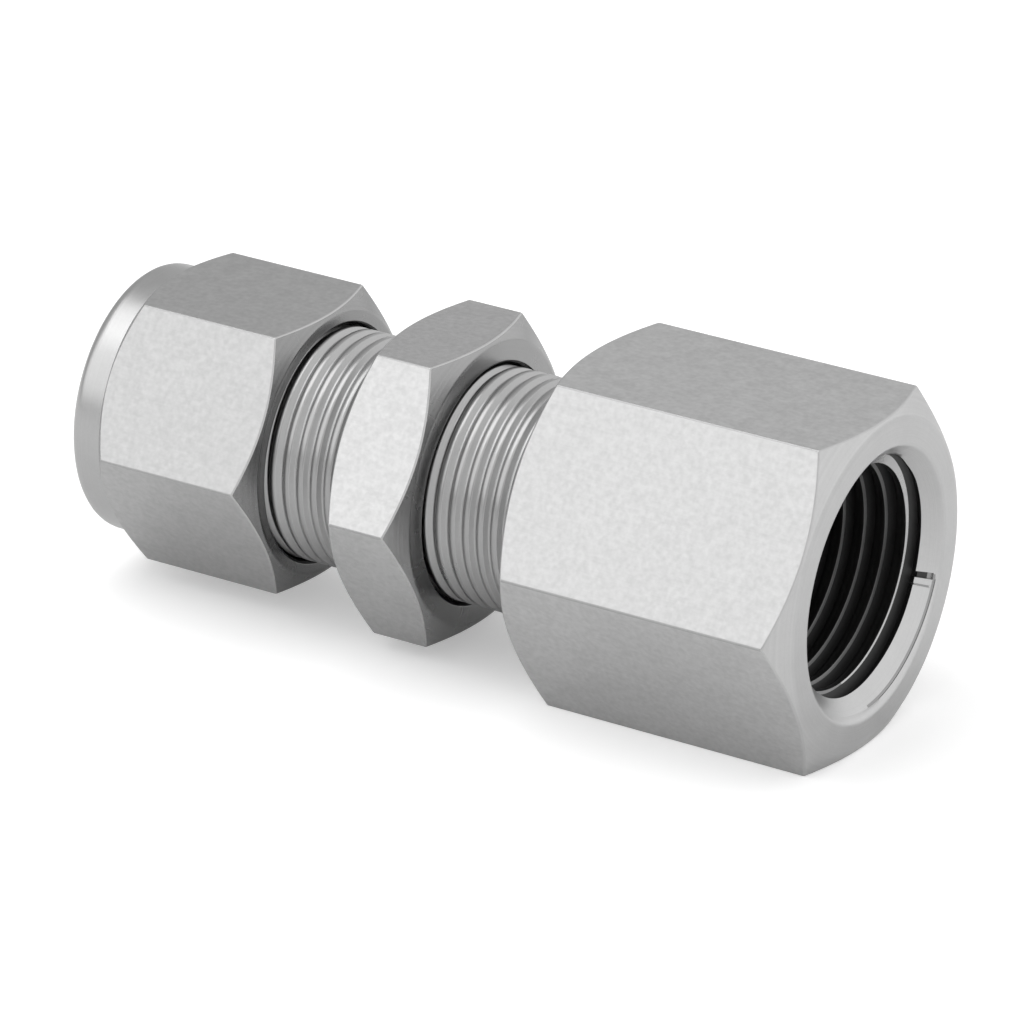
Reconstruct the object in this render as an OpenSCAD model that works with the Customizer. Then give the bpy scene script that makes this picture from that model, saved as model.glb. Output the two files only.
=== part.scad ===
// Bulkhead female connector: a turned body with a female pipe port in its hexagon and a
// threaded shank that passes through a panel, a lock nut that clamps the panel, and a
// compression nut that drives a pair of ferrules into the cone at the shank's end.
// The axis lies along X, +X leaves the female port, +Z is up from a hexagon flat, and the
// origin is on the axis in the shoulder face that the panel rests against.
// The shank's thread is shown as rings in place of a helix, and the threads inside the nuts
// and the port as plain walls at the diameter that carries them.

/* [Tube] */
// Outside diameter of the tube that the fitting takes
tube_d = 12.7; // [11:0.05:14]
// Clearance all round the tube in the body's socket and in the ferrules
tube_clearance = 0.05; // [0.02:0.01:0.12]
// Clearance all round the tube in the nut's hole
nut_hole_clearance = 0.1; // [0.05:0.01:0.2]
// Depth from the nut's outer end to the ledge that stops the tube
tube_insertion = 22.9; // [19:0.1:30]
// Height of the ledge that stops the tube, where the passage narrows
stop_ledge = 1.2; // [0.5:0.05:3]

/* [Ferrules] */
// Thickness of both ferrules from their bore to their rim
ferrule_wall = 1.5; // [1.25:0.05:2]
// Wall of the front ferrule at the tip of its nose
front_nose_wall = 0.35; // [0.2:0.05:0.6]
// Length of the front ferrule's cylindrical band
front_band_len = 3.3; // [1.6:0.1:6]
// Depth of the 45 degree pocket in the back of the front ferrule
pocket_depth = 0.8; // [0.4:0.05:1]
// Length of the neck in front of the back ferrule's flange
back_neck_len = 1.2; // [0.4:0.1:3]
// Length of the back ferrule's flange at its rim
back_flange_len = 1.7; // [0.8:0.1:4]
// Angle from square of the back ferrule's rear face and of the nut's shoulder
drive_angle = 15; // [0:1:25]

/* [Ferrule seat] */
// Width by which the body's cone opens past the ferrules' rim, all round
seat_margin = 0.2; // [0.1:0.05:0.5]
// Half angle of the body's cone and of the front ferrule's taper
seat_angle = 20; // [14:1:30]
// Gap between parts that seat on each other while the nut is finger tight
seat_gap = 0.05; // [0.02:0.01:0.1]

/* [Threaded shank] */
// Length of the shank from the panel shoulder to the tube end
shank_len = 31; // [27:0.5:45]
// Wall from the cone's mouth to the thread's crests, which completes the 19.05 mm thread
shank_wall = 1.425; // [1:0.025:2.5]
// Height of the chamfer at the shank's tube end
shank_chamfer = 0.7; // [0.2:0.1:1.5]
// Distance from one thread ring to the next
thread_pitch = 1.27; // [1:0.01:2]
// Depth of the grooves between the thread rings
thread_depth = 0.42; // [0.2:0.02:0.5]
// Angle between the two sides of a groove
thread_angle = 60; // [45:1:60]
// Width of a groove's flat floor
thread_root = 0.28; // [0.1:0.02:0.3]
// Plain length left on the shank between the shoulder and the thread
thread_runout = 1; // [0.8:0.1:3]
// Clearance all round between the shank's thread and the nuts' threads
thread_clearance = 0.05; // [0.02:0.01:0.1]

/* [Female port] */
// Diameter of the port's wall, at the crests of its tapered pipe thread
port_d = 18.26; // [15:0.02:22]
// Depth of the port's wall below the female end
port_depth = 19.05; // [14:0.05:26]
// Height of the 45 degree countersink in the female end
port_flare = 1.87; // [0.8:0.01:2.5]
// Rim from the countersink out to the body's flats, which completes the 26.99 mm hexagon
port_rim = 2.495; // [1.6:0.005:5]
// Distance from the inner end of the port's wall to the panel shoulder
port_back = 6.65; // [4:0.05:12]
// Included angle of the drill point at the port's floor
drill_point_angle = 118; // [90:1:140]

/* [Tube nut] */
// Wall from the thread out to the nut's flats, which completes the 22.23 mm hexagon
nut_wall = 1.59; // [1.3:0.01:4]
// Length of the nut from its tube end to its open end
nut_len = 17.85; // [15:0.05:20.5]
// Thickness of the nut's back wall, from the tube end to the ferrules' shoulder
nut_back_wall = 4.15; // [2.5:0.05:6]
// Length of the round collar at the tube end
collar_len = 2.9; // [1.6:0.1:5]
// Depth of the collar's wall below the hexagon's flats
collar_step = 0.1; // [0.05:0.01:0.6]
// Radius of the collar's rounded outer edge
collar_round = 1; // [0.3:0.1:1.5]
// Angle from square of the cone that runs from the collar up to the hexagon's corners
collar_cone_angle = 38; // [15:1:50]
// Free length of thread in the nut past the shank's end, used up as the nut is tightened
pull_up_room = 2.2; // [1.7:0.1:2.6]
// Clearance all round the ferrules in the nut's chamber
chamber_clearance = 0.2; // [0.1:0.05:0.4]
// Turn of the nut about the axis, which leaves its flats a little out of line
nut_turn = 1.6; // [-30:0.1:30]

/* [Lock nut] */
// Wall from the thread out to the lock nut's flats, which completes the 23.81 mm hexagon
lock_wall = 2.38; // [1.6:0.01:6]
// Thickness of the lock nut
lock_nut_len = 7.45; // [4.5:0.05:9]
// Gap between the shoulder and the lock nut, where the panel goes
panel_gap = 9.05; // [1:0.05:13]
// Turn of the lock nut about the axis
lock_turn = 0.6; // [-30:0.1:30]

/* [Edges] */
// Angle from square of the chamfer that rounds the hexagons' corners
hex_chamfer_angle = 30; // [20:1:40]
// Distance of the chamfer's circle inside the flats
hex_chamfer_inset = 0.4; // [0.1:0.05:0.6]
// Height of the 45 degree lead-in at each open end of a nut's thread
thread_lead = 0.5; // [0.2:0.05:0.6]
// Height of the 45 degree lead-in at the nut's tube hole
tube_lead = 0.4; // [0.1:0.05:1]

/* [Hidden] */
// Roundness of every turned surface
$fn = 96;
// Distance that a cutting shape runs past the face that it opens
past = 1;

// Radii, built outwards from the tube so that a change of tube carries through
socket_r = tube_d / 2 + tube_clearance;
nut_hole_r = tube_d / 2 + nut_hole_clearance;
through_r = socket_r - stop_ledge;
ferrule_r = socket_r + ferrule_wall;
chamber_r = ferrule_r + chamber_clearance;
seat_mouth_r = ferrule_r + seat_margin;
thread_r = seat_mouth_r + shank_wall;
nut_bore_r = thread_r + thread_clearance;
nut_hex_af = 2 * (thread_r + nut_wall);
lock_hex_af = 2 * (thread_r + lock_wall);
collar_r = nut_hex_af / 2 - collar_step;
port_r = port_d / 2;
port_mouth_r = port_r + port_flare;
body_hex_af = 2 * (port_mouth_r + port_rim);

// Stations along the axis, from the female end back to the tube end
female_x = port_back + port_depth;
shank_x = -shank_len;
seat_bottom_x = shank_x + (seat_mouth_r - socket_r) / tan(seat_angle);
lock_right_x = -panel_gap;
lock_left_x = lock_right_x - lock_nut_len;
end_chamfer = min(shank_chamfer, shank_wall / 2);
groove_count = floor((shank_len - end_chamfer - thread_runout) / thread_pitch);

// The front ferrule's taper runs a radial seat gap inside the body's cone
front_nose_r = socket_r + front_nose_wall;
front_band_x = shank_x + (seat_margin - seat_gap) / tan(seat_angle);
front_nose_x = front_band_x + (ferrule_r - front_nose_r) / tan(seat_angle);
front_rear_x = front_band_x - front_band_len;

// The back ferrule's 45 degree nose sits a seat gap behind the front ferrule's pocket
pocket_r = socket_r + pocket_depth;
back_nose_r = socket_r + pocket_depth / 4;
back_neck_r = pocket_r - seat_gap;
back_neck_x = front_rear_x - seat_gap;
back_nose_x = back_neck_x + back_neck_r - back_nose_r;
back_rim_x = back_neck_x - back_neck_len;
back_rear_x = back_rim_x - back_flange_len;
drive_slope = tan(drive_angle);
back_bore_x = back_rear_x - ferrule_wall * drive_slope;

// The nut's shoulder follows the back ferrule's rear face at one seat gap
shoulder_hole_x = back_bore_x + (nut_hole_r - socket_r) * drive_slope - seat_gap;
shoulder_rim_x = shoulder_hole_x + (chamber_r - nut_hole_r) * drive_slope;
nut_left_x = shoulder_hole_x - nut_back_wall;
nut_right_x = nut_left_x + nut_len;
nut_thread_x = shank_x - pull_up_room;
tube_stop_x = nut_left_x + tube_insertion;

// A solid of revolution about the X axis from an outline of [radius, x] points
module turned(outline) {
  rotate([0, 90, 0])
    rotate_extrude()
      polygon(outline);
}

// A plain hexagonal bar along X with flats above and below, turned about its axis
module hex_bar(af, from_x, to_x, turn = 0) {
  translate([from_x, 0, 0])
    rotate([0, 90, 0])
      rotate([0, 0, 30 + turn])
        cylinder(h = to_x - from_x, r = af / sqrt(3), $fn = 6);
}

// Radius beyond a hexagon's corners, where its chamfer cones may end
function clear_r(af) = af / sqrt(3) + past;

// Axial run of a cone from one radius out to another, at an angle from square
function cone_run(from_r, to_r, angle) = (to_r - from_r) * tan(angle);

// A hexagon with both ends turned to the usual round-cornered chamfer
module chamfered_hex(af, from_x, to_x, turn = 0) {
  face_r = af / 2 - hex_chamfer_inset;
  run = cone_run(face_r, clear_r(af), hex_chamfer_angle);
  intersection() {
    hex_bar(af, from_x, to_x, turn);
    turned([
      [0, from_x], [face_r, from_x], [clear_r(af), from_x + run],
      [clear_r(af), to_x - run], [face_r, to_x], [0, to_x]
    ]);
  }
}

// A nut's plain thread bore, with a lead-in at its right end and one at its left if open
module thread_bore(from_x, to_x, open_left) {
  left_lead = open_left ? thread_lead : 0;
  left_x = open_left ? from_x - past : from_x;
  turned([
    [0, left_x],
    [nut_bore_r + left_lead, left_x],
    [nut_bore_r + left_lead, from_x],
    [nut_bore_r, from_x + left_lead],
    [nut_bore_r, to_x - thread_lead],
    [nut_bore_r + thread_lead, to_x],
    [nut_bore_r + thread_lead, to_x + past],
    [0, to_x + past]
  ]);
}

// Tapped port, passage, tube socket and ferrule cone, all cut on the body's one axis
module body_passage() {
  floor_run = (port_r - through_r) / tan(drill_point_angle / 2);
  turned([
    [0, shank_x - past],
    [seat_mouth_r, shank_x - past],
    [seat_mouth_r, shank_x],
    [socket_r, seat_bottom_x],
    [socket_r, tube_stop_x],
    [through_r, tube_stop_x],
    [through_r, port_back - floor_run],
    [port_r, port_back],
    [port_r, female_x - port_flare],
    [port_mouth_r, female_x],
    [port_mouth_r, female_x + past],
    [0, female_x + past]
  ]);
}

// Outline points of one groove of the shank's thread, taken towards the shoulder
function groove(middle_x) = let (
    floor_half = thread_root / 2,
    mouth_half = floor_half + thread_depth * tan(thread_angle / 2)
  ) [
    [thread_r, middle_x - mouth_half],
    [thread_r - thread_depth, middle_x - floor_half],
    [thread_r - thread_depth, middle_x + floor_half],
    [thread_r, middle_x + mouth_half]
  ];

// Solid shank with its thread, before the passage is cut
module shank() {
  first_x = thread_pitch / 2 - thread_runout - groove_count * thread_pitch;
  turned([
    [0, shank_x],
    [thread_r - end_chamfer, shank_x],
    [thread_r, shank_x + end_chamfer],
    for (i = [0 : groove_count - 1]) each groove(first_x + i * thread_pitch),
    [thread_r, past],
    [0, past]
  ]);
}

module body() {
  color([0.80, 0.80, 0.79])
    difference() {
      union() {
        chamfered_hex(body_hex_af, 0, female_x);
        shank();
      }
      body_passage();
    }
}

module lock_nut() {
  color([0.84, 0.84, 0.83])
    difference() {
      chamfered_hex(lock_hex_af, lock_left_x, lock_right_x, lock_turn);
      thread_bore(lock_left_x, lock_right_x, true);
    }
}

// Outside form of the tube nut's turning: rounded collar, corner cone and end chamfer
module nut_turning() {
  out_r = clear_r(nut_hex_af);
  face_r = nut_hex_af / 2 - hex_chamfer_inset;
  cone_x = nut_left_x + collar_len;
  cone_end_x = cone_x + cone_run(collar_r, out_r, collar_cone_angle);
  chamfer_x = nut_right_x - cone_run(face_r, out_r, hex_chamfer_angle);
  rotate([0, 90, 0])
    rotate_extrude()
      difference() {
        polygon([
          [0, nut_left_x], [collar_r, nut_left_x], [collar_r, cone_x],
          [out_r, cone_end_x], [out_r, chamfer_x], [face_r, nut_right_x],
          [0, nut_right_x]
        ]);
        outer_round([collar_r, nut_left_x], collar_round);
      }
}

// Cutter that rounds an outline's corner at its outer radius and lower end
module outer_round(corner, round_r) {
  translate(corner + [-round_r, round_r])
    difference() {
      translate([0, -round_r - past])
        square(round_r + past);
      circle(r = round_r);
    }
}

// Tube hole, ferrule shoulder and chamber inside the tube nut
module nut_chamber() {
  turned([
    [0, nut_left_x - past],
    [nut_hole_r + tube_lead, nut_left_x - past],
    [nut_hole_r + tube_lead, nut_left_x],
    [nut_hole_r, nut_left_x + tube_lead],
    [nut_hole_r, shoulder_hole_x],
    [chamber_r, shoulder_rim_x],
    [chamber_r, nut_thread_x - (nut_bore_r - chamber_r)],
    [nut_bore_r, nut_thread_x],
    [nut_bore_r, nut_thread_x + past],
    [0, nut_thread_x + past]
  ]);
}

module tube_nut() {
  color([0.82, 0.82, 0.81])
    difference() {
      intersection() {
        hex_bar(nut_hex_af, nut_left_x, nut_right_x, nut_turn);
        nut_turning();
      }
      nut_chamber();
      thread_bore(nut_thread_x, nut_right_x, false);
    }
}

// Long-nosed ring that seals in the body's cone, with a pocket in its back
module front_ferrule() {
  color([0.74, 0.74, 0.73])
    turned([
      [socket_r, front_nose_x],
      [front_nose_r, front_nose_x],
      [ferrule_r, front_band_x],
      [ferrule_r, front_rear_x],
      [pocket_r, front_rear_x],
      [socket_r, front_rear_x + pocket_depth]
    ]);
}

// Flanged ring that grips the tube, with its nose in the front ferrule's pocket
module back_ferrule() {
  color([0.70, 0.70, 0.69])
    turned([
      [socket_r, back_nose_x],
      [back_nose_r, back_nose_x],
      [back_neck_r, back_neck_x],
      [back_neck_r, back_rim_x],
      [ferrule_r, back_rim_x],
      [ferrule_r, back_rear_x],
      [socket_r, back_bore_x]
    ]);
}

body();
lock_nut();
tube_nut();
front_ferrule();
back_ferrule();
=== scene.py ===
# %% [markdown]
# # Dressing a bulkhead female connector
#
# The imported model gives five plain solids: a body with a hexagon and a threaded shank, a
# lock nut, a tube nut and two ferrules. They have the true sizes, but the shank's thread is
# only plain rings, and the port and the nuts have plain walls, because a helix is slow to
# build exactly and does nothing in a physics model. This file gives them their helical
# threads, the eased edges and the machined stainless steel that a camera sees.
#
# Everything is in metres in the model's own frame: the axis runs along X, +X comes out of
# the female port, +Z is up, and x = 0 is the shoulder that meets the panel.

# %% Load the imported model
import math

import bmesh
import bpy
import numpy as np
from mathutils import Matrix, Vector


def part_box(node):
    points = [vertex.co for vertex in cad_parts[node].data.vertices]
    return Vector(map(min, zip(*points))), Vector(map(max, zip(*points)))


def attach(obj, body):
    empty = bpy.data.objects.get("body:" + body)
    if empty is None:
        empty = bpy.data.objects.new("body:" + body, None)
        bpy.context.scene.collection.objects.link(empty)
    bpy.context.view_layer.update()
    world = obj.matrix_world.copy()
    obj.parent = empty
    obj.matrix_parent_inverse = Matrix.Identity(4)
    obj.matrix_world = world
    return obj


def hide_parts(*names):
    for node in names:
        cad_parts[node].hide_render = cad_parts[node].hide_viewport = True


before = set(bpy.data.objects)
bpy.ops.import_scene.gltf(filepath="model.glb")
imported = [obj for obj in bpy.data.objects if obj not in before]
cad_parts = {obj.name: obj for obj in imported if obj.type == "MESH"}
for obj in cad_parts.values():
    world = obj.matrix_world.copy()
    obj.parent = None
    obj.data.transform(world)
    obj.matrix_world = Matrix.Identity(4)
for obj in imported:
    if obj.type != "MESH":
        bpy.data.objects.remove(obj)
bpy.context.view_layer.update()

# %% [markdown]
# ## Where things are
#
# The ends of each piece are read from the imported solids, so the dressed pieces start and
# stop where the solids do. The few sizes inside them, such as the thread's diameter, are
# the drawing's own and are written here once, in millimetres.

# %% Read the ends and state the sizes
MM = 0.001


def span(node):
    """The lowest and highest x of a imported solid, in millimetres."""
    low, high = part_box(node)
    return low.x / MM, high.x / MM


BODY_START, BODY_END = span("body")
LOCK_START, LOCK_END = span("lock_nut")
NUT_START, NUT_END = span("tube_nut")
FLOOR_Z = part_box("body")[0].z / MM

SHOULDER = 0.0
BODY_FLAT = -FLOOR_Z
LOCK_FLAT, LOCK_TURN = 11.905, math.radians(0.6)
NUT_FLAT, NUT_TURN = 11.115, math.radians(1.6)

THREAD_R = 9.525
THREAD_PITCH = 1.27
THREAD_ZERO = -0.78
NUT_BORE_R = 9.575
SOCKET_R, THROUGH_R, NUT_HOLE_R = 6.4, 5.2, 6.45
for name, start, end in (("body", BODY_START, BODY_END), ("lock nut", LOCK_START, LOCK_END),
                         ("tube nut", NUT_START, NUT_END)):
    print(name, "from x", round(start, 3), "to", round(end, 3), "mm")

# %% [markdown]
# ## A skin made of rings
#
# Every piece here was turned in a lathe or cut from hexagon bar, so every piece is a closed
# chain of rings round the X axis. A primitive with booleans would give the same shape but
# poor edges, and a helical thread cut with booleans is slow and often breaks. Instead each
# ring is a row of points at the same angles, with its own x and its own radius at each
# angle. A circle has one radius, a hexagon's radius grows towards its corners, and a
# thread's ring has an x that climbs once round. Joining each ring to the next gives one
# closed mesh.
#
# The angles start at the top and turn towards the front. They are closer together at the
# six corners, where the bar has a small radius.

# %% Angles for the rings
COLUMNS = 180
CORNER_RADIUS = 0.22
CORNER_STEPS = [math.radians(step) for step in (-0.42, -0.28, -0.14, 0.14, 0.28, 0.42)]
CORNER_HALF = math.radians(0.45)
CLOSEST = math.radians(0.05)


def ring_angles(turn=0.0, extra=()):
    """Angles round the axis: even steps, more at six rounded corners, and any extra ones."""
    even = turn + np.arange(COLUMNS) * 2 * math.pi / COLUMNS
    corners = turn + math.radians(30) + np.arange(6) * math.pi / 3
    near = [corners + step for step in CORNER_STEPS]
    angles = np.sort(np.mod(np.concatenate([even, *near, extra]), 2 * math.pi))
    return angles[np.diff(angles, prepend=-1) > CLOSEST]


def hexagon(angles, flat, turn=0.0):
    """Radius of a hexagon at each angle, with its corners rounded."""
    from_flat = np.mod(angles - turn + math.pi / 6, math.pi / 3) - math.pi / 6
    from_corner = math.pi / 6 - np.abs(from_flat)
    reach = (flat - CORNER_RADIUS) * 2 / math.sqrt(3)
    side = reach * np.sin(from_corner)
    rounded = reach * np.cos(from_corner) + np.sqrt(np.maximum(CORNER_RADIUS**2 - side**2, 0))
    return np.where(side < CORNER_RADIUS / 2, rounded, flat / np.cos(from_flat))


def flat_slots(angles, turn, flat_slot, edge_slot):
    """Material slot of each column round a hexagon: its flats, and its rounded corners."""
    middle = angles + np.diff(angles, append=angles[0] + 2 * math.pi) / 2
    from_corner = np.abs(np.mod(middle - turn, math.pi / 3) - math.pi / 6)
    return np.where(from_corner < CORNER_HALF, edge_slot, flat_slot)


print("columns round a plain hexagon:", len(ring_angles()))

# %% [markdown]
# ## Easing an edge
#
# No edge on a real part is sharp: a file, a brush or a tumbling barrel has taken it off, and
# the eased strip is what catches the light. A corner of the outline becomes three rings, one
# a little before it, one a little after it and one pulled in between them. A guard ring on
# each side keeps the shading of the faces beside it flat right up to the eased strip. A bevel
# modifier would ease the edges too, but it would also try to ease every ridge of a thread.

# %% Chains of rings
GUARD = 0.03
PULL_IN = 0.3


class Chain:
    """Rings from one end of a piece round to where it started, ready to be joined."""

    def __init__(self, angles):
        self.angles = angles
        self.x, self.r, self.slot, self.next_turn = [], [], [], []

    def ring(self, x, r, slot):
        """Adds one ring. The faces from it to the next ring take the material slot."""
        count = len(self.angles)
        self.x.append(np.broadcast_to(np.asarray(x, float), count).copy())
        self.r.append(np.broadcast_to(np.asarray(r, float), count).copy())
        self.slot.append(slot)
        self.next_turn.append(0)

    def outline(self, corners):
        """Adds corners given as (x, r, ease, slot of the eased strip, slot of the faces after it)."""
        whole = [np.stack(np.broadcast_arrays(x, r, self.angles)[:2]) for x, r, *_ in corners]
        for i, (_, _, ease, eased, slot) in enumerate(corners):
            if not ease:
                self.ring(*whole[i], slot)
                continue
            back, ahead = (self.unit(whole[j] - whole[i]) for j in (i - 1, i + 1))
            self.ring(*(whole[i] + (ease + GUARD) * back), self.slot[-1])
            self.ring(*(whole[i] + ease * back), eased)
            self.ring(*(whole[i] + PULL_IN * ease * (back + ahead)), eased)
            self.ring(*(whole[i] + ease * ahead), slot)
            self.ring(*(whole[i] + (ease + GUARD) * ahead), slot)

    @staticmethod
    def unit(step):
        """The direction of a step, at each angle."""
        return step / np.maximum(np.hypot(*step), 1e-9)


print("guard rings", GUARD, "mm outside each eased strip")

# %% [markdown]
# ## Cutting a thread
#
# A thread is one ridge that climbs by a pitch each turn. Its form, crest, flank and root, is
# a short list of places along the pitch with a depth at each. Each place becomes a ring that
# climbs with the helix, so crests and flanks stay clean along their whole length. Where a
# ring would leave the threaded length it is held at the end, and the points that fall on
# each other there are merged afterwards. The shank and the nuts share one zero, so the nuts'
# ridges lie in the shank's grooves, and each nut still fits when it is run along by whole
# turns. The port's thread has a pitch and a zero of its own.

# %% Helical rings
def add_thread(chain, start, end, pitch, zero, form, radius, slots, backwards=False):
    """Adds a thread's rings between two ends; radius(x, depth) says how deep a place is cut."""
    climb = chain.angles / (2 * math.pi)
    first = math.floor((start - zero) / pitch) - 2
    last = math.ceil((end - zero) / pitch) + 1
    rings = []
    for turn in range(first, last + 1):
        turns = turn + climb
        for (place, depth), slot in zip(form(turns) if callable(form) else form, slots):
            x = np.clip(zero + pitch * (turns + place), start, end)
            rings.append((x, radius(x, depth), slot))
    base, steps = len(chain.x), len(slots)
    if backwards:
        shifted = [ring[2] for ring in rings]
        rings = [(x, r, shifted[i - 1]) for i, (x, r, _) in enumerate(rings)][::-1]
    for i, (x, r, slot) in enumerate(rings):
        chain.ring(x, r, slot)
        shift = -steps if backwards else steps
        chain.next_turn[-1] = min(max(base + i + shift, base), base + len(rings) - 1) - (base + i)


def smooth(value):
    """0 to 1 with soft ends."""
    held = np.clip(value, 0, 1)
    return held * held * (3 - 2 * held)


print("shank's thread:", round(-BODY_START / THREAD_PITCH, 1), "turns of", THREAD_PITCH, "mm")

# %% [markdown]
# ## Joining the rings
#
# Each ring is joined to the next by a band of faces, one column for each angle. Where the
# angles close, a thread's ring meets the ring one turn further on, and so the helix climbs.
# Points that fall on each other are merged, and the open edges are counted, because a closed
# piece has none. Weighted normals keep the flats looking flat beside their eased edges.

# %% Join the rings into a piece
SHARP_ANGLE = math.radians(52)
MERGE_WITHIN, COLLAPSE_UNDER = 2e-7, 1e-8


def make_piece(name, chain, materials):
    """Joins a chain's rings into one closed mesh and gives it its materials."""
    x, r = np.array(chain.x), np.array(chain.r)
    rings, columns = x.shape
    points = np.stack([x, -r * np.sin(chain.angles), r * np.cos(chain.angles)], axis=-1) * MM
    faces, slots = [], []
    for i in range(rings):
        after = (i + 1) % rings
        for j in range(columns - 1):
            here, there = i * columns + j, after * columns + j
            faces.append((here, there, there + 1, here + 1))
        turned = (i + chain.next_turn[i]) * columns
        turned_after = (after + chain.next_turn[after]) * columns
        faces.append((i * columns + columns - 1, after * columns + columns - 1, turned_after, turned))
        slots += np.broadcast_to(chain.slot[i], columns).tolist()
    mesh = bpy.data.meshes.new(name)
    mesh.from_pydata(points.reshape(-1, 3).tolist(), [], faces)
    mesh.polygons.foreach_set("material_index", slots)
    mesh.polygons.foreach_set("use_smooth", [True] * len(faces))
    for material in materials:
        mesh.materials.append(material)
    work = bmesh.new()
    work.from_mesh(mesh)
    bmesh.ops.remove_doubles(work, verts=work.verts, dist=MERGE_WITHIN)
    bmesh.ops.dissolve_degenerate(work, edges=work.edges, dist=COLLAPSE_UNDER)
    bmesh.ops.recalc_face_normals(work, faces=work.faces)
    open_edges = sum(not edge.is_manifold for edge in work.edges)
    work.to_mesh(mesh)
    work.free()
    mesh.set_sharp_from_angle(angle=SHARP_ANGLE)
    piece = bpy.data.objects.new(name, mesh)
    bpy.context.scene.collection.objects.link(piece)
    keep_flats = piece.modifiers.new("flat faces stay flat", "WEIGHTED_NORMAL")
    keep_flats.weight = 100
    keep_flats.keep_sharp = True
    triangles = sum(len(p.vertices) - 2 for p in mesh.polygons)
    print(name, triangles, "triangles,", open_edges, "open edges")
    return piece


print("edges sharper than", round(math.degrees(SHARP_ANGLE)), "degrees stay sharp")

# %% [markdown]
# ## Machined stainless steel
#
# All five pieces are stainless steel, but each surface was left by a different tool. The
# hexagon's flats are the drawn bar's own skin, satin and faintly speckled. End faces,
# chamfers, the collar and the threads are turned or tapped, so they carry fine rings round
# the axis. Pictures could carry these finishes, but noise in the model's own millimetres
# needs no picture and no unwrapping and stays sharp near the camera. The helpers below build
# a base of neutral steel, clouds and speckle that change its tone and gloss a little, and
# tool marks in the bump.

# %% Node helpers
def new_metal(name):
    """A metal with its nodes, links and shader, and the place on the piece."""
    material = bpy.data.materials.new(name)
    material.use_nodes = True
    nodes, links = material.node_tree.nodes, material.node_tree.links
    shader = nodes["Principled BSDF"]
    shader.inputs["Metallic"].default_value = 1.0
    place = nodes.new("ShaderNodeTexCoord").outputs["Object"]
    return material, nodes, links, shader, place


def noise(nodes, links, place, stretch, detail, rough):
    """Noise whose grain along x, y and z is given in millimetres."""
    mapping = nodes.new("ShaderNodeMapping")
    mapping.inputs["Scale"].default_value = [1 / (MM * grain) for grain in stretch]
    links.new(place, mapping.inputs["Vector"])
    texture = nodes.new("ShaderNodeTexNoise")
    texture.inputs["Scale"].default_value = 1.0
    texture.inputs["Detail"].default_value = detail
    texture.inputs["Roughness"].default_value = rough
    links.new(mapping.outputs["Vector"], texture.inputs["Vector"])
    return texture.outputs["Fac"]


def spread(nodes, links, value, low, high, from_low=0.3, from_high=0.7):
    """Maps a noise value to a range."""
    node = nodes.new("ShaderNodeMapRange")
    ends = {"From Min": from_low, "From Max": from_high, "To Min": low, "To Max": high}
    for end, level in ends.items():
        node.inputs[end].default_value = level
    links.new(value, node.inputs["Value"])
    return node.outputs["Result"]


def mixed(nodes, links, first, second, share):
    """A blend of two values; share is how much of it is the second."""
    node = nodes.new("ShaderNodeMix")
    node.inputs["Factor"].default_value = share
    links.new(first, node.inputs[2])
    links.new(second, node.inputs[3])
    return node.outputs[0]


def grey_base(nodes, links, shader, value, tone, swing):
    """Neutral steel whose tone swings a little with a noise value."""
    grey = spread(nodes, links, value, tone * (1 - swing), tone * (1 + swing), 0.36, 0.64)
    colour = nodes.new("ShaderNodeCombineColor")
    for channel in ("Red", "Green", "Blue"):
        links.new(grey, colour.inputs[channel])
    links.new(colour.outputs["Color"], shader.inputs["Base Color"])


def bump(nodes, links, shader, height, depth_mm):
    """Raises the surface by a height of this many millimetres at full value."""
    node = nodes.new("ShaderNodeBump")
    node.inputs["Distance"].default_value = depth_mm * MM
    node.inputs["Strength"].default_value = 1.0
    links.new(height, node.inputs["Height"])
    links.new(node.outputs["Normal"], shader.inputs["Normal"])


def axis_distance(nodes, links, place):
    """How far a point is from the X axis, in millimetres."""
    flatten = nodes.new("ShaderNodeVectorMath")
    flatten.operation = "MULTIPLY"
    flatten.inputs[1].default_value = (0, 1 / MM, 1 / MM)
    links.new(place, flatten.inputs[0])
    length = nodes.new("ShaderNodeVectorMath")
    length.operation = "LENGTH"
    links.new(flatten.outputs["Vector"], length.inputs[0])
    return length.outputs["Value"]


print("grain and depth are given to the helpers in mm, each", MM, "m")

# %% [markdown]
# ## The bar's skin
#
# Drawing leaves a satin skin on the bar: a speckle about half a millimetre across, wider
# clouds under it, and faint lines along the way the bar was pulled. Three noises with those
# grains are blended, and the same blend moves the tone, so nothing looks laid on top.

# %% Bar flats
BAR_SPECKLE, BAR_CLOUDS, BAR_DRAG = (0.46, 0.44, 0.44), (1.5, 1.1, 1.1), (2.6, 0.10, 0.10)


def bar_steel(name, tone, gloss):
    """The satin skin of drawn hexagon bar, speckled, with faint drag lines along the bar."""
    material, nodes, links, shader, place = new_metal(name)
    speckle = noise(nodes, links, place, BAR_SPECKLE, detail=1.0, rough=0.5)
    clouds = noise(nodes, links, place, BAR_CLOUDS, detail=3.0, rough=0.6)
    drag = noise(nodes, links, place, BAR_DRAG, detail=2.0, rough=0.5)
    grain = mixed(nodes, links, speckle, clouds, share=0.42)
    skin = mixed(nodes, links, grain, drag, share=0.15)
    grey_base(nodes, links, shader, skin, tone, swing=0.08)
    links.new(spread(nodes, links, clouds, gloss - 0.03, gloss + 0.04), shader.inputs["Roughness"])
    bump(nodes, links, shader, mixed(nodes, links, speckle, drag, share=0.2), depth_mm=0.002)
    return material


body_bar = bar_steel("satin bar steel", tone=0.50, gloss=0.42)
lock_bar = bar_steel("satin bar steel, lock nut", tone=0.47, gloss=0.22)
nut_bar = bar_steel("satin bar steel, tube nut", tone=0.43, gloss=0.32)
print("bar finishes made: body, lock nut and tube nut")

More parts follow.
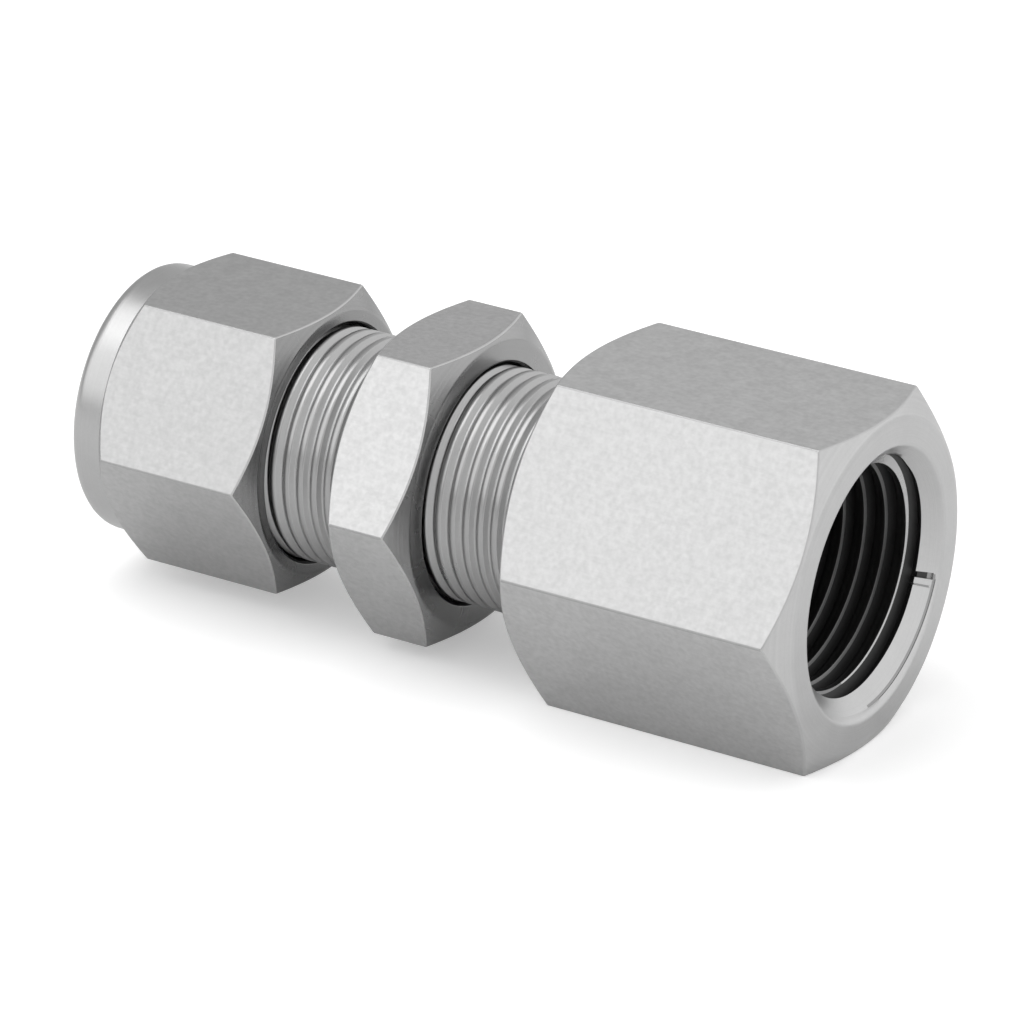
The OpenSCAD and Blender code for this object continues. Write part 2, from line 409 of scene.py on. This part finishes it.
# %% [markdown]
# ## Turned and tapped faces
#
# A lathe tool leaves one fine ring for each turn of its feed. The place along the axis plus
# the distance from it counts the turns, so one recipe serves end faces, cylinders and the
# threads. The finishes differ in tone and gloss. Edges and corners are rubbed. Some tones are
# painted light and shade: the shank's flank facing the port is lighter than its crests, roots
# and other flank, the nuts' turned faces are darker than the body's, the insides of the nuts
# and of the port are painted dark shade, the port's deeper crests a duller painted shade, and
# the port's last turn takes a painted highlight.

# %% Turned faces
TURNED_CLOUDS, TURNED_SPECKLE = (2.4, 2.4, 2.4), (0.2, 0.2, 0.2)


def turned_steel(name, tone, gloss, feed=0.11):
    """Steel left by a lathe tool: fine rings round the axis, one for each turn of the feed."""
    material, nodes, links, shader, place = new_metal(name)
    distance = axis_distance(nodes, links, place)
    along = nodes.new("ShaderNodeSeparateXYZ")
    links.new(place, along.inputs["Vector"])
    scaled = nodes.new("ShaderNodeMath")
    scaled.operation = "MULTIPLY_ADD"
    scaled.inputs[1].default_value = 1 / MM
    links.new(along.outputs["X"], scaled.inputs[0])
    links.new(distance, scaled.inputs[2])
    rings = nodes.new("ShaderNodeMath")
    rings.operation = "MULTIPLY"
    rings.inputs[1].default_value = 1 / feed
    links.new(scaled.outputs["Value"], rings.inputs[0])
    marks = nodes.new("ShaderNodeTexNoise")
    marks.noise_dimensions = "1D"
    marks.inputs["Scale"].default_value = 1.0
    marks.inputs["Detail"].default_value = 3.0
    links.new(rings.outputs["Value"], marks.inputs["W"])
    clouds = noise(nodes, links, place, TURNED_CLOUDS, detail=3.0, rough=0.5)
    speckle = noise(nodes, links, place, TURNED_SPECKLE, detail=2.0, rough=0.5)
    grain = mixed(nodes, links, marks.outputs["Fac"], speckle, share=0.4)
    skin = mixed(nodes, links, grain, clouds, share=0.4)
    grey_base(nodes, links, shader, skin, tone, swing=0.05)
    links.new(spread(nodes, links, clouds, gloss - 0.03, gloss + 0.03), shader.inputs["Roughness"])
    bump(nodes, links, shader, marks.outputs["Fac"], depth_mm=0.004)
    return material


turned = turned_steel("turned steel", tone=0.52, gloss=0.34)
# the nuts' turned steel is darker than the body's: painted shade on the nut faces that look onto the
# shank
lock_turned_shaded = turned_steel("turned steel, lock nut, painted shade", tone=0.34, gloss=0.26)
nut_turned_shaded = turned_steel("turned steel, tube nut, painted shade", tone=0.29, gloss=0.26)
collar_steel = turned_steel("turned steel, collar", tone=0.43, gloss=0.32)
edge_steel = turned_steel("rubbed edge steel", tone=0.48, gloss=0.34, feed=0.2)
corner_steel = turned_steel("worn corner steel", tone=0.40, gloss=0.5, feed=0.2)
# the shank's flank facing the port takes a lighter tone than its crests, roots and other flank: painted
# light and shade
thread_steel = turned_steel("thread crest steel", tone=0.35, gloss=0.3, feed=0.2)
flank_steel = turned_steel("thread flank steel", tone=0.43, gloss=0.4, feed=0.2)
# the port thread's tones are painted: a highlight on its last turn, duller shade deeper in, dark shade in
# its cut
port_crest_lit = turned_steel("port thread, painted highlight", tone=0.50, gloss=0.28)
port_inner_shaded = turned_steel("port thread, painted duller shade", tone=0.24, gloss=0.34, feed=0.16)
port_cut_shaded = turned_steel("port thread, painted dark shade", tone=0.065, gloss=0.5, feed=0.16)
# the nuts' threads and lead-ins take a painted dark shade
nut_thread_shaded = turned_steel("nut thread, painted dark shade", tone=0.06, gloss=0.34, feed=0.16)
# the bore steel also gives the painted shade in the countersink's nicks and in the middle of its line
bore_and_shade_steel = turned_steel("drilled bore steel and painted shade", tone=0.30, gloss=0.34, feed=0.2)
print("materials made:", len(bpy.data.materials))

# %% [markdown]
# ## The body
#
# The body is a length of hexagon bar. Its tube end is turned down to the shank and threaded,
# both hexagon ends are chamfered at 30 degrees, which leaves the curved arcs on the flats,
# and the female end is drilled, countersunk and tapped with a tapered pipe thread. The chain
# of rings runs along the outside from the tube end, over the hexagon, into the port and back
# through the passage.
#
# The countersink keeps traces of the tools: two small nicks low on its far side, a fine
# spiral line, and the last turn of the tapped groove, which runs out through it. The nicks
# and the line's middle are painted dark as shade, and the groove's last turn takes a painted
# highlight.

# %% Body sizes
CHAMFER_INSET = 0.4
CHAMFER_SLOPE = math.tan(math.radians(30))
BAR_EASE, MOUTH_EASE, COUNTERSINK_EASE = 0.12, 0.25, 0.18
NOSE, RUN_OUT, THREAD_STOP = 0.75, 0.9, -0.35
SEAT_MOUTH_R, SEAT_END, TUBE_STOP = 8.1, -26.33, -18.53

PORT_R, PORT_MOUTH_R = 9.16, 11.0
PORT_PITCH, PORT_TAPER = 1.8143, 1 / 32
PORT_ZERO, PORT_THREAD_R = 21.9, 10.15
PORT_FLOOR, PORT_FLOOR_R, DRILL_POINT = 6.65, 8.56, 2.2
PORT_PLAIN, PORT_FADE, PORT_BOTTOM = 1.2, 2.5, 0.2

# each nick is an angle, half its width and a depth
NICKS = [(math.radians(253), math.radians(1.4), 0.35),
         (math.radians(248.4), math.radians(0.4), 0.12)]
NICK_FROM_R, NICK_TO_R, NICK_DEEP = 9.55, 10.5, 0.2
LINE_R, LINE_SPREAD, LINE_DEPTH = 10.42, 0.28, 0.07
LINE_FROM, LINE_TO, LINE_FADE = math.radians(150), math.radians(253), 0.8
LINE_FORM = [(0.10, 0.0), (0.04, LINE_DEPTH), (0.0, LINE_DEPTH), (-0.08, 0.0), (-0.24, 0.0)]

# along the last turn of the tapped groove: how far up its side the painted highlight runs, and where it
# ends
GROOVE_SIDE = PORT_PITCH * math.tan(math.radians(60))
GROOVE_ROOT, GROOVE_FLOOR = 0.29, 0.04
GROOVE_CLOSES, GROOVE_CLOSING = 0.98, 0.06
BRIGHT_TURNS = [0.45, 0.50, 0.70, 0.736, 0.775, 0.806, 0.847, 0.889, 0.93, 0.97]
BRIGHT_PLACES = [0.075, 0.038, 0.045, 0.055, 0.066, 0.083, 0.11, 0.157, 0.23, 0.26]
GROOVE_TURNS = [0.30, 0.47, 0.56, 0.64, 0.73, 0.81, 0.85, 0.89, 0.93, 0.97]
GROOVE_PLACES = [0.75, 0.72, 0.66, 0.64, 0.579, 0.573, 0.569, 0.538, 0.61, 0.64]

# place along the pitch and depth: a flat crest, a flank, a flat root and a flank
SHANK_FORM = [(-0.01, 0.04), (0.03, 0.0), (0.37, 0.0), (0.41, 0.04),
              (0.60, 0.33), (0.64, 0.36), (0.76, 0.36), (0.80, 0.33)]


def shank_radius(x, depth):
    """The shank's thread, with a 45 degree nose and a run-out at the shoulder."""
    fade = smooth((-RUN_OUT - x) / RUN_OUT)
    nose = THREAD_R - NOSE + np.clip(x - BODY_START, 0, NOSE)
    return np.minimum(THREAD_R - depth * fade, nose)


def flare_radius(x):
    """Radius of the countersink, a 45 degree cone."""
    return PORT_MOUTH_R - (BODY_END - x)


def flare_x(r):
    """Where along the axis the countersink has a radius."""
    return BODY_END - (PORT_MOUTH_R - r)


def nick_depth(flare):
    """How deep the two small nicks in the countersink are, at each angle."""
    along = (flare > NICK_FROM_R) & (flare < NICK_TO_R)
    return along * sum(deep * (np.abs(around - angle) < half) for angle, half, deep in NICKS)


def port_radius(x, depth):
    """The tapered port with its thread, opened by the countersink and its nicks."""
    wall = PORT_R - (BODY_END - x) * PORT_TAPER
    fade = smooth((x - PORT_FLOOR - PORT_PLAIN) / PORT_FADE)
    flare = flare_radius(x)
    return np.maximum(wall + depth * fade, flare + nick_depth(flare))


def port_form(turns):
    """The tapped groove. Its last turn runs out through the countersink."""
    bright = np.interp(turns, BRIGHT_TURNS, BRIGHT_PLACES)
    outer = np.interp(turns, GROOVE_TURNS, GROOVE_PLACES)
    side = GROOVE_SIDE * (1.0 - smooth((turns - GROOVE_CLOSES) / GROOVE_CLOSING))
    return [(-0.02, 0.0), (0.0, 0.0), (bright, bright * side), (GROOVE_ROOT, GROOVE_ROOT * side),
            (GROOVE_ROOT + GROOVE_FLOOR, GROOVE_ROOT * side), (outer, 0.0)]


print("hexagon", round(2 * BODY_FLAT, 2), "mm across flats")
print("port", round(BODY_END - PORT_FLOOR, 2), "mm deep")

# %% [markdown]
# ## The body's rings
#
# The rings follow each other as the chain runs. Rings whose x follows the hexagon's radius
# give the arcs that a chamfer leaves on the flats. Five rings carry the fine line round the
# countersink. The port's thread starts on the countersink itself, and its last turn there
# takes a bright tone, a painted highlight that follows the groove.

# %% Body rings
nick_columns = [angle + side * (half + math.radians(step))
                for angle, half, _ in NICKS for side in (-1, 1) for step in (-0.05, 0.05, 0.25)]
around = ring_angles(0.0, nick_columns)
across = hexagon(around, BODY_FLAT)
face_r = BODY_FLAT - CHAMFER_INSET
left_arc = SHOULDER + (across - face_r) * CHAMFER_SLOPE
right_arc = BODY_END - (across - face_r) * CHAMFER_SLOPE
# CREST, INNER and CUT are the port thread's painted highlight, duller painted shade and dark painted
# shade
BAR, TURNED, THREAD, CREST, CUT, BORE, EDGE, INNER, FLANK, CORNER = range(10)
# the flank facing the port takes the lighter FLANK tone: a painted difference of light and shade
SHANK_SLOTS = [THREAD, THREAD, FLANK, FLANK, FLANK, THREAD, THREAD, THREAD]
PORT_SLOTS = [CUT, CREST, CUT, CUT, CUT, CUT]

# the tube end's rim, the shank, the hexagon and the port's mouth
RIM = 0.05
MOUTH_STEP = 0.15
body_chain = Chain(around)
body_chain.ring(BODY_START, SEAT_MOUTH_R + RIM, TURNED)
add_thread(body_chain, BODY_START, THREAD_STOP, THREAD_PITCH, THREAD_ZERO, SHANK_FORM, shank_radius,
           SHANK_SLOTS)
body_chain.outline([
    (THREAD_STOP + RIM, THREAD_R, 0, THREAD, THREAD),
    (SHOULDER, THREAD_R, 0, TURNED, TURNED),
    (SHOULDER, face_r, BAR_EASE, EDGE, TURNED),
    (left_arc, across, BAR_EASE, EDGE, flat_slots(around, 0.0, BAR, CORNER)),
    (right_arc, across, BAR_EASE, EDGE, TURNED),
    (BODY_END, face_r, MOUTH_EASE, TURNED, TURNED),
    (BODY_END, PORT_MOUTH_R, COUNTERSINK_EASE, TURNED, TURNED),
    (BODY_END - MOUTH_STEP, PORT_MOUTH_R - MOUTH_STEP, 0, TURNED, TURNED),
])

# the fine spiral line in the countersink; its middle and the nicks on it are painted dark as shade
LINE_DARK = 0.75
on_line = smooth((around - LINE_FROM) / LINE_FADE) * (around < LINE_TO)
line_r = LINE_R + LINE_SPREAD * np.clip((around - LINE_FROM) / (LINE_TO - LINE_FROM), 0, 1)
for away, cut in LINE_FORM:
    r = line_r + away
    nick = nick_depth(r)
    dark = (nick > 0) | (on_line * (cut > 0) > LINE_DARK)
    body_chain.ring(flare_x(r), r + cut * on_line + nick, np.where(dark, BORE, TURNED))

# the tapped port. Where a ring crosses the countersink it keeps the turned steel; elsewhere the crest
# of the last turn takes a painted highlight, the crests deeper in a duller painted shade, and the nicks
# a dark painted shade.
ON_FLARE_WITHIN, LAST_TURN_AFTER = 0.004, 0.4
first_port_ring = len(body_chain.x)
add_thread(body_chain, PORT_FLOOR + PORT_BOTTOM, flare_x(PORT_THREAD_R), PORT_PITCH, PORT_ZERO, port_form,
           port_radius, PORT_SLOTS, backwards=True)
for i in range(first_port_ring, len(body_chain.x) - 1):
    flare = [flare_radius(body_chain.x[k]) for k in (i, i + 1)]
    on_flare = [body_chain.r[k] - flare[k - i] < ON_FLARE_WITHIN for k in (i, i + 1)]
    lit_last_turn = (body_chain.x[i] > PORT_ZERO + LAST_TURN_AFTER) & (around > math.pi)
    slot = np.where(lit_last_turn, CREST, INNER) if body_chain.slot[i] == CREST else body_chain.slot[i]
    nick = nick_depth(flare[0])
    slot = np.where(on_flare[0] & on_flare[1], TURNED, slot)
    body_chain.slot[i] = np.where(nick > NICK_DEEP, CUT, np.where(nick > 0, BORE, slot))

# the drill's point, the passage, the tube's socket and the ferrules' seat
body_chain.outline([
    (PORT_FLOOR, PORT_FLOOR_R, 0, CUT, CUT),
    (PORT_FLOOR - DRILL_POINT, THROUGH_R, 0, BORE, BORE),
    (TUBE_STOP, THROUGH_R, 0, BORE, BORE),
    (TUBE_STOP, SOCKET_R, 0, BORE, BORE),
    (SEAT_END, SOCKET_R, 0, TURNED, TURNED),
    (BODY_START, SEAT_MOUTH_R, 0, TURNED, TURNED),
])
body = make_piece("connector_body", body_chain,
                  [body_bar, turned, thread_steel, port_crest_lit, port_cut_shaded,
                   bore_and_shade_steel, edge_steel, port_inner_shaded, flank_steel, corner_steel])
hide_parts("body")
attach(body, "body")

# %% [markdown]
# ## The lock nut
#
# A thin hexagon nut, chamfered on both faces and tapped right through, with a lead-in at
# each end of its thread. The ridges fade out towards the face that meets the panel, as a
# real lead-in does, so they stay clear of the run-out at the end of the shank's thread.

# %% Lock nut rings
RIDGE = 0.36
NUT_FORM = [(0.53, 0.0), (0.66, RIDGE), (0.74, RIDGE), (0.87, 0.0), (1.0, 0.0), (1.2, 0.0)]
NUT_LEAD = 0.36
MOUTH_PLAIN, MOUTH_FADE, INNER_FADE = 0.6, 1.3, 0.9
NUT_EASE, FACE_EASE = 0.1, 0.15
NUT_THREAD, NUT_BORE, NUT_EDGE, NUT_CORNER, COLLAR = range(2, 7)


def add_nut_thread(chain, start, end, open_start, slot):
    """Adds a nut's thread. Its ridges fade out towards the mouth and at a closed end."""
    def radius(x, ridge):
        fade = smooth((end - x - MOUTH_PLAIN) / MOUTH_FADE)
        if open_start:
            from_mouth = np.minimum(x - start, end - x)
        else:
            from_mouth = end - x
            fade = fade * smooth((x - start) / INNER_FADE)
        return np.maximum(NUT_BORE_R - ridge * fade, NUT_BORE_R + NUT_LEAD - from_mouth)

    slots = [slot] * len(NUT_FORM)
    add_thread(chain, start, end, THREAD_PITCH, THREAD_ZERO, NUT_FORM, radius, slots, backwards=True)


around = ring_angles(LOCK_TURN)
across = hexagon(around, LOCK_FLAT, LOCK_TURN)
face_r = LOCK_FLAT - CHAMFER_INSET
lead_r = NUT_BORE_R + NUT_LEAD + RIM
arc = (across - face_r) * CHAMFER_SLOPE
lock_chain = Chain(around)
lock_chain.outline([
    (LOCK_START, lead_r, 0, TURNED, TURNED),
    (LOCK_START, face_r, FACE_EASE, TURNED, TURNED),
    (LOCK_START + arc, across, NUT_EASE, NUT_EDGE, flat_slots(around, LOCK_TURN, BAR, NUT_CORNER)),
    (LOCK_END - arc, across, NUT_EASE, NUT_EDGE, TURNED),
    (LOCK_END, face_r, FACE_EASE, TURNED, TURNED),
    (LOCK_END, lead_r, 0, TURNED, TURNED),
])
add_nut_thread(lock_chain, LOCK_START, LOCK_END, True, NUT_THREAD)
# the nuts' threads take a painted dark shade
nut_skins = [nut_thread_shaded, bore_and_shade_steel, edge_steel, corner_steel]
lock_nut = make_piece("lock_nut_steel", lock_chain, [lock_bar, lock_turned_shaded, *nut_skins])
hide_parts("lock_nut")
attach(lock_nut, "lock_nut")

# %% [markdown]
# ## The tube nut
#
# The tube nut has a round collar at its tube end, with a well rounded edge, and a cone that
# runs from the collar up to the hexagon's corners. Inside are the tube's hole, the shoulder
# that drives the ferrules, their chamber and the thread. The collar's round is a quarter of
# a circle in seven rings, wide enough to be a form of its own and not an eased edge.

# %% Tube nut rings
COLLAR_R, COLLAR_LEN, COLLAR_ROUND, ROUND_STEPS = 11.015, 2.9, 1.0, 6
CONE_SLOPE = math.tan(math.radians(38))
HOLE_BEVEL, HOLE_EASE, CONE_EASE, NUT_FACE_EASE = 0.4, 0.06, 0.03, 0.12
BEFORE_ROUND, AFTER_ROUND = 0.3, 0.2
NUT_THREAD_START = -33.2
CHAMBER_R, CHAMBER_END, CHAMBER_START, DRIVE_END = 8.1, -34.68, -36.83, -37.28
around = ring_angles(NUT_TURN)
across = hexagon(around, NUT_FLAT, NUT_TURN)
face_r = NUT_FLAT - CHAMFER_INSET
arc = (across - face_r) * CHAMFER_SLOPE
cone_arc = NUT_START + COLLAR_LEN + (across - COLLAR_R) * CONE_SLOPE
nut_chain = Chain(around)
nut_chain.outline([
    (NUT_START + HOLE_BEVEL, NUT_HOLE_R, 0, TURNED, TURNED),
    (NUT_START, NUT_HOLE_R + HOLE_BEVEL, HOLE_EASE, TURNED, TURNED),
    (NUT_START, COLLAR_R - COLLAR_ROUND - BEFORE_ROUND, 0, TURNED, TURNED),
])
for step in range(ROUND_STEPS + 1):
    bend = math.radians(90 * step / ROUND_STEPS)
    nut_chain.ring(NUT_START + COLLAR_ROUND * (1 - math.cos(bend)),
                   COLLAR_R - COLLAR_ROUND * (1 - math.sin(bend)), COLLAR)
nut_chain.outline([
    (NUT_START + COLLAR_ROUND + AFTER_ROUND, COLLAR_R, 0, COLLAR, COLLAR),
    (NUT_START + COLLAR_LEN, COLLAR_R, CONE_EASE, COLLAR, COLLAR),
    (cone_arc, across, CONE_EASE, COLLAR, flat_slots(around, NUT_TURN, BAR, NUT_CORNER)),
    (NUT_END - arc, across, NUT_EASE, NUT_EDGE, TURNED),
    (NUT_END, face_r, NUT_FACE_EASE, TURNED, TURNED),
    (NUT_END, lead_r, 0, TURNED, TURNED),
])
add_nut_thread(nut_chain, NUT_THREAD_START, NUT_END, False, NUT_THREAD)
nut_chain.outline([
    (CHAMBER_END, CHAMBER_R, 0, NUT_BORE, NUT_BORE),
    (CHAMBER_START, CHAMBER_R, 0, NUT_BORE, NUT_BORE),
    (DRIVE_END, NUT_HOLE_R, 0, NUT_BORE, NUT_BORE),
])
tube_nut = make_piece("tube_nut_steel", nut_chain, [nut_bar, nut_turned_shaded, *nut_skins, collar_steel])
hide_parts("tube_nut")
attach(tube_nut, "tube_nut")

# %% [markdown]
# ## The ferrules
#
# The two ferrules are plain turned rings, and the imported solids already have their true
# shape, so they stay and only take a turned finish.

# %% Ferrule finish
ferrule_steel = turned_steel("turned ferrule steel", tone=0.48, gloss=0.26, feed=0.09)
for node in ("front_ferrule", "back_ferrule"):
    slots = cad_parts[node].data.materials
    for i in range(len(slots)):
        slots[i] = ferrule_steel
    print(node, "slots finished:", len(slots))

# %% [markdown]
# ## Floor
#
# The part lies on a white sheet. The sheet is matt, so it takes the part's soft shadow, and
# a little of its own light is added for the camera and for reflections only, which keeps the
# sheet white without putting more light on the part.

# %% Floor
SHEET_REACH, SHEET_COLOUR = 3.0, 0.80
SHEET_OWN_SEEN, SHEET_OWN_MIRRORED = 0.32, 0.02
floor_mesh = bpy.data.meshes.new("floor")
floor_z = FLOOR_Z * MM
corners = [(x * SHEET_REACH, y * SHEET_REACH, floor_z)
           for x, y in ((-1, -1), (1, -1), (1, 1), (-1, 1))]
floor_mesh.from_pydata(corners, [], [(0, 1, 2, 3)])
floor = bpy.data.objects.new("floor", floor_mesh)
bpy.context.scene.collection.objects.link(floor)

paper = bpy.data.materials.new("white sheet")
paper.use_nodes = True
nodes, links = paper.node_tree.nodes, paper.node_tree.links
nodes.clear()
output = nodes.new("ShaderNodeOutputMaterial")
matt = nodes.new("ShaderNodeBsdfDiffuse")
matt.inputs["Color"].default_value = (SHEET_COLOUR, SHEET_COLOUR, SHEET_COLOUR, 1)
own = nodes.new("ShaderNodeEmission")
path = nodes.new("ShaderNodeLightPath")
mirrored = nodes.new("ShaderNodeMath")
mirrored.operation = "MAXIMUM"
links.new(path.outputs["Is Glossy Ray"], mirrored.inputs[0])
links.new(path.outputs["Is Transmission Ray"], mirrored.inputs[1])
mirrored_level = nodes.new("ShaderNodeMath")
mirrored_level.operation = "MULTIPLY"
mirrored_level.inputs[1].default_value = SHEET_OWN_MIRRORED
links.new(mirrored.outputs["Value"], mirrored_level.inputs[0])
level = nodes.new("ShaderNodeMath")
level.operation = "MULTIPLY_ADD"
level.inputs[1].default_value = SHEET_OWN_SEEN
links.new(path.outputs["Is Camera Ray"], level.inputs[0])
links.new(mirrored_level.outputs["Value"], level.inputs[2])
links.new(level.outputs["Value"], own.inputs["Strength"])
both = nodes.new("ShaderNodeAddShader")
links.new(matt.outputs["BSDF"], both.inputs[0])
links.new(own.outputs["Emission"], both.inputs[1])
links.new(both.outputs["Shader"], output.inputs["Surface"])
floor_mesh.materials.append(paper)
print("white sheet at z", round(FLOOR_Z, 3), "mm, colour", SHEET_COLOUR)

# %% [markdown]
# ## Light
#
# The photograph's metal tells where its lights stood. The front flats are the brightest, so
# a soft box stands in front, to the left and above. A second one hangs overhead, lights the
# upper faces and keeps the shadow close to the part. A soft dome fills everything else. It
# is brighter towards the port than towards the tube, and the camera itself sees plain white
# behind the sheet. A picture of a studio could light the part instead, but its lamps could
# not be moved singly.

# %% Studio dome
BRIGHT_SIDE = (0.95, 0.3, 0.0)
DULL, BRIGHT = 0.58, 1.15
BRIGHTENS_FROM, BRIGHTENS_TO = -0.5, 0.6
world = bpy.data.worlds.new("studio")
bpy.context.scene.world = world
world.use_nodes = True
nodes, links = world.node_tree.nodes, world.node_tree.links
nodes.clear()
sky_out = nodes.new("ShaderNodeOutputWorld")
dome = nodes.new("ShaderNodeBackground")
white = nodes.new("ShaderNodeBackground")
dome.inputs["Color"].default_value = white.inputs["Color"].default_value = (1, 1, 1, 1)
way = nodes.new("ShaderNodeTexCoord")
sideways = nodes.new("ShaderNodeVectorMath")
sideways.operation = "DOT_PRODUCT"
sideways.inputs[1].default_value = BRIGHT_SIDE
links.new(way.outputs["Generated"], sideways.inputs[0])
shade = nodes.new("ShaderNodeMapRange")
shade.interpolation_type = "SMOOTHSTEP"
ends = {"From Min": BRIGHTENS_FROM, "From Max": BRIGHTENS_TO, "To Min": DULL, "To Max": BRIGHT}
for end, level in ends.items():
    shade.inputs[end].default_value = level
links.new(sideways.outputs["Value"], shade.inputs["Value"])
links.new(shade.outputs["Result"], dome.inputs["Strength"])
seen = nodes.new("ShaderNodeLightPath")
choose = nodes.new("ShaderNodeMixShader")
links.new(seen.outputs["Is Camera Ray"], choose.inputs["Fac"])
links.new(dome.outputs["Background"], choose.inputs[1])
links.new(white.outputs["Background"], choose.inputs[2])
links.new(choose.outputs["Shader"], sky_out.inputs["Surface"])
print("dome strength", DULL, "towards the tube's end to", BRIGHT, "towards the port")

# %% [markdown]
# ## Soft boxes
#
# Each soft box is given by a direction, a distance, the size of its face and its radiance,
# because radiance is what the metal mirrors. Its power follows from radiance and size, so a
# box can grow or shrink and still look as bright in the steel.

# %% Soft boxes
def soft_box(name, towards, away, width, height, brightness):
    """A rectangular soft box in a direction from the part, as bright as stated over its face."""
    lamp = bpy.data.lights.new(name, "AREA")
    lamp.shape = "RECTANGLE"
    lamp.size, lamp.size_y = width, height
    lamp.energy = brightness * math.pi * width * height
    holder = bpy.data.objects.new(name, lamp)
    bpy.context.scene.collection.objects.link(holder)
    way = Vector(towards).normalized()
    holder.location = way * away
    holder.rotation_mode = "QUATERNION"
    holder.rotation_quaternion = way.to_track_quat("Z", "Y")
    print(name, "at", [round(v, 3) for v in holder.location], "radiance", brightness)


soft_box("front soft box", (-0.513, -0.658, 0.552), away=0.7, width=0.75, height=0.64, brightness=1.1)
soft_box("overhead soft box", (-0.30, -0.12, 0.95), away=0.8, width=0.6, height=0.6, brightness=1.9)

# %% [markdown]
# ## Camera
#
# The lens, place and roll come from matching the solid's corners to the photograph's. It is a
# long lens from far off, so the hexagon's edges run nearly parallel, as they do there.

# %% Camera
LENS, SENSOR = 240.64, 36.0
CAMERA_PLACE = Vector((0.24376319, -0.4253727, 0.2117607))
camera_data = bpy.data.cameras.new("camera")
camera_data.lens, camera_data.sensor_width = LENS, SENSOR
camera_data.clip_start, camera_data.clip_end = 0.01, 20.0
camera = bpy.data.objects.new("camera", camera_data)
bpy.context.scene.collection.objects.link(camera)
right = Vector((0.85579383, 0.51670731, 0.02510944))
forward = Vector((-0.46578243, 0.79075121, -0.39718918))
camera.rotation_mode = "QUATERNION"
camera.rotation_quaternion = Matrix((right, right.cross(forward), -forward)).transposed().to_quaternion()
camera.location = CAMERA_PLACE
bpy.context.scene.camera = camera
bpy.context.scene.view_settings.view_transform = "Standard"
print("lens", LENS, "mm,", round(CAMERA_PLACE.length, 3), "m from the shoulder")
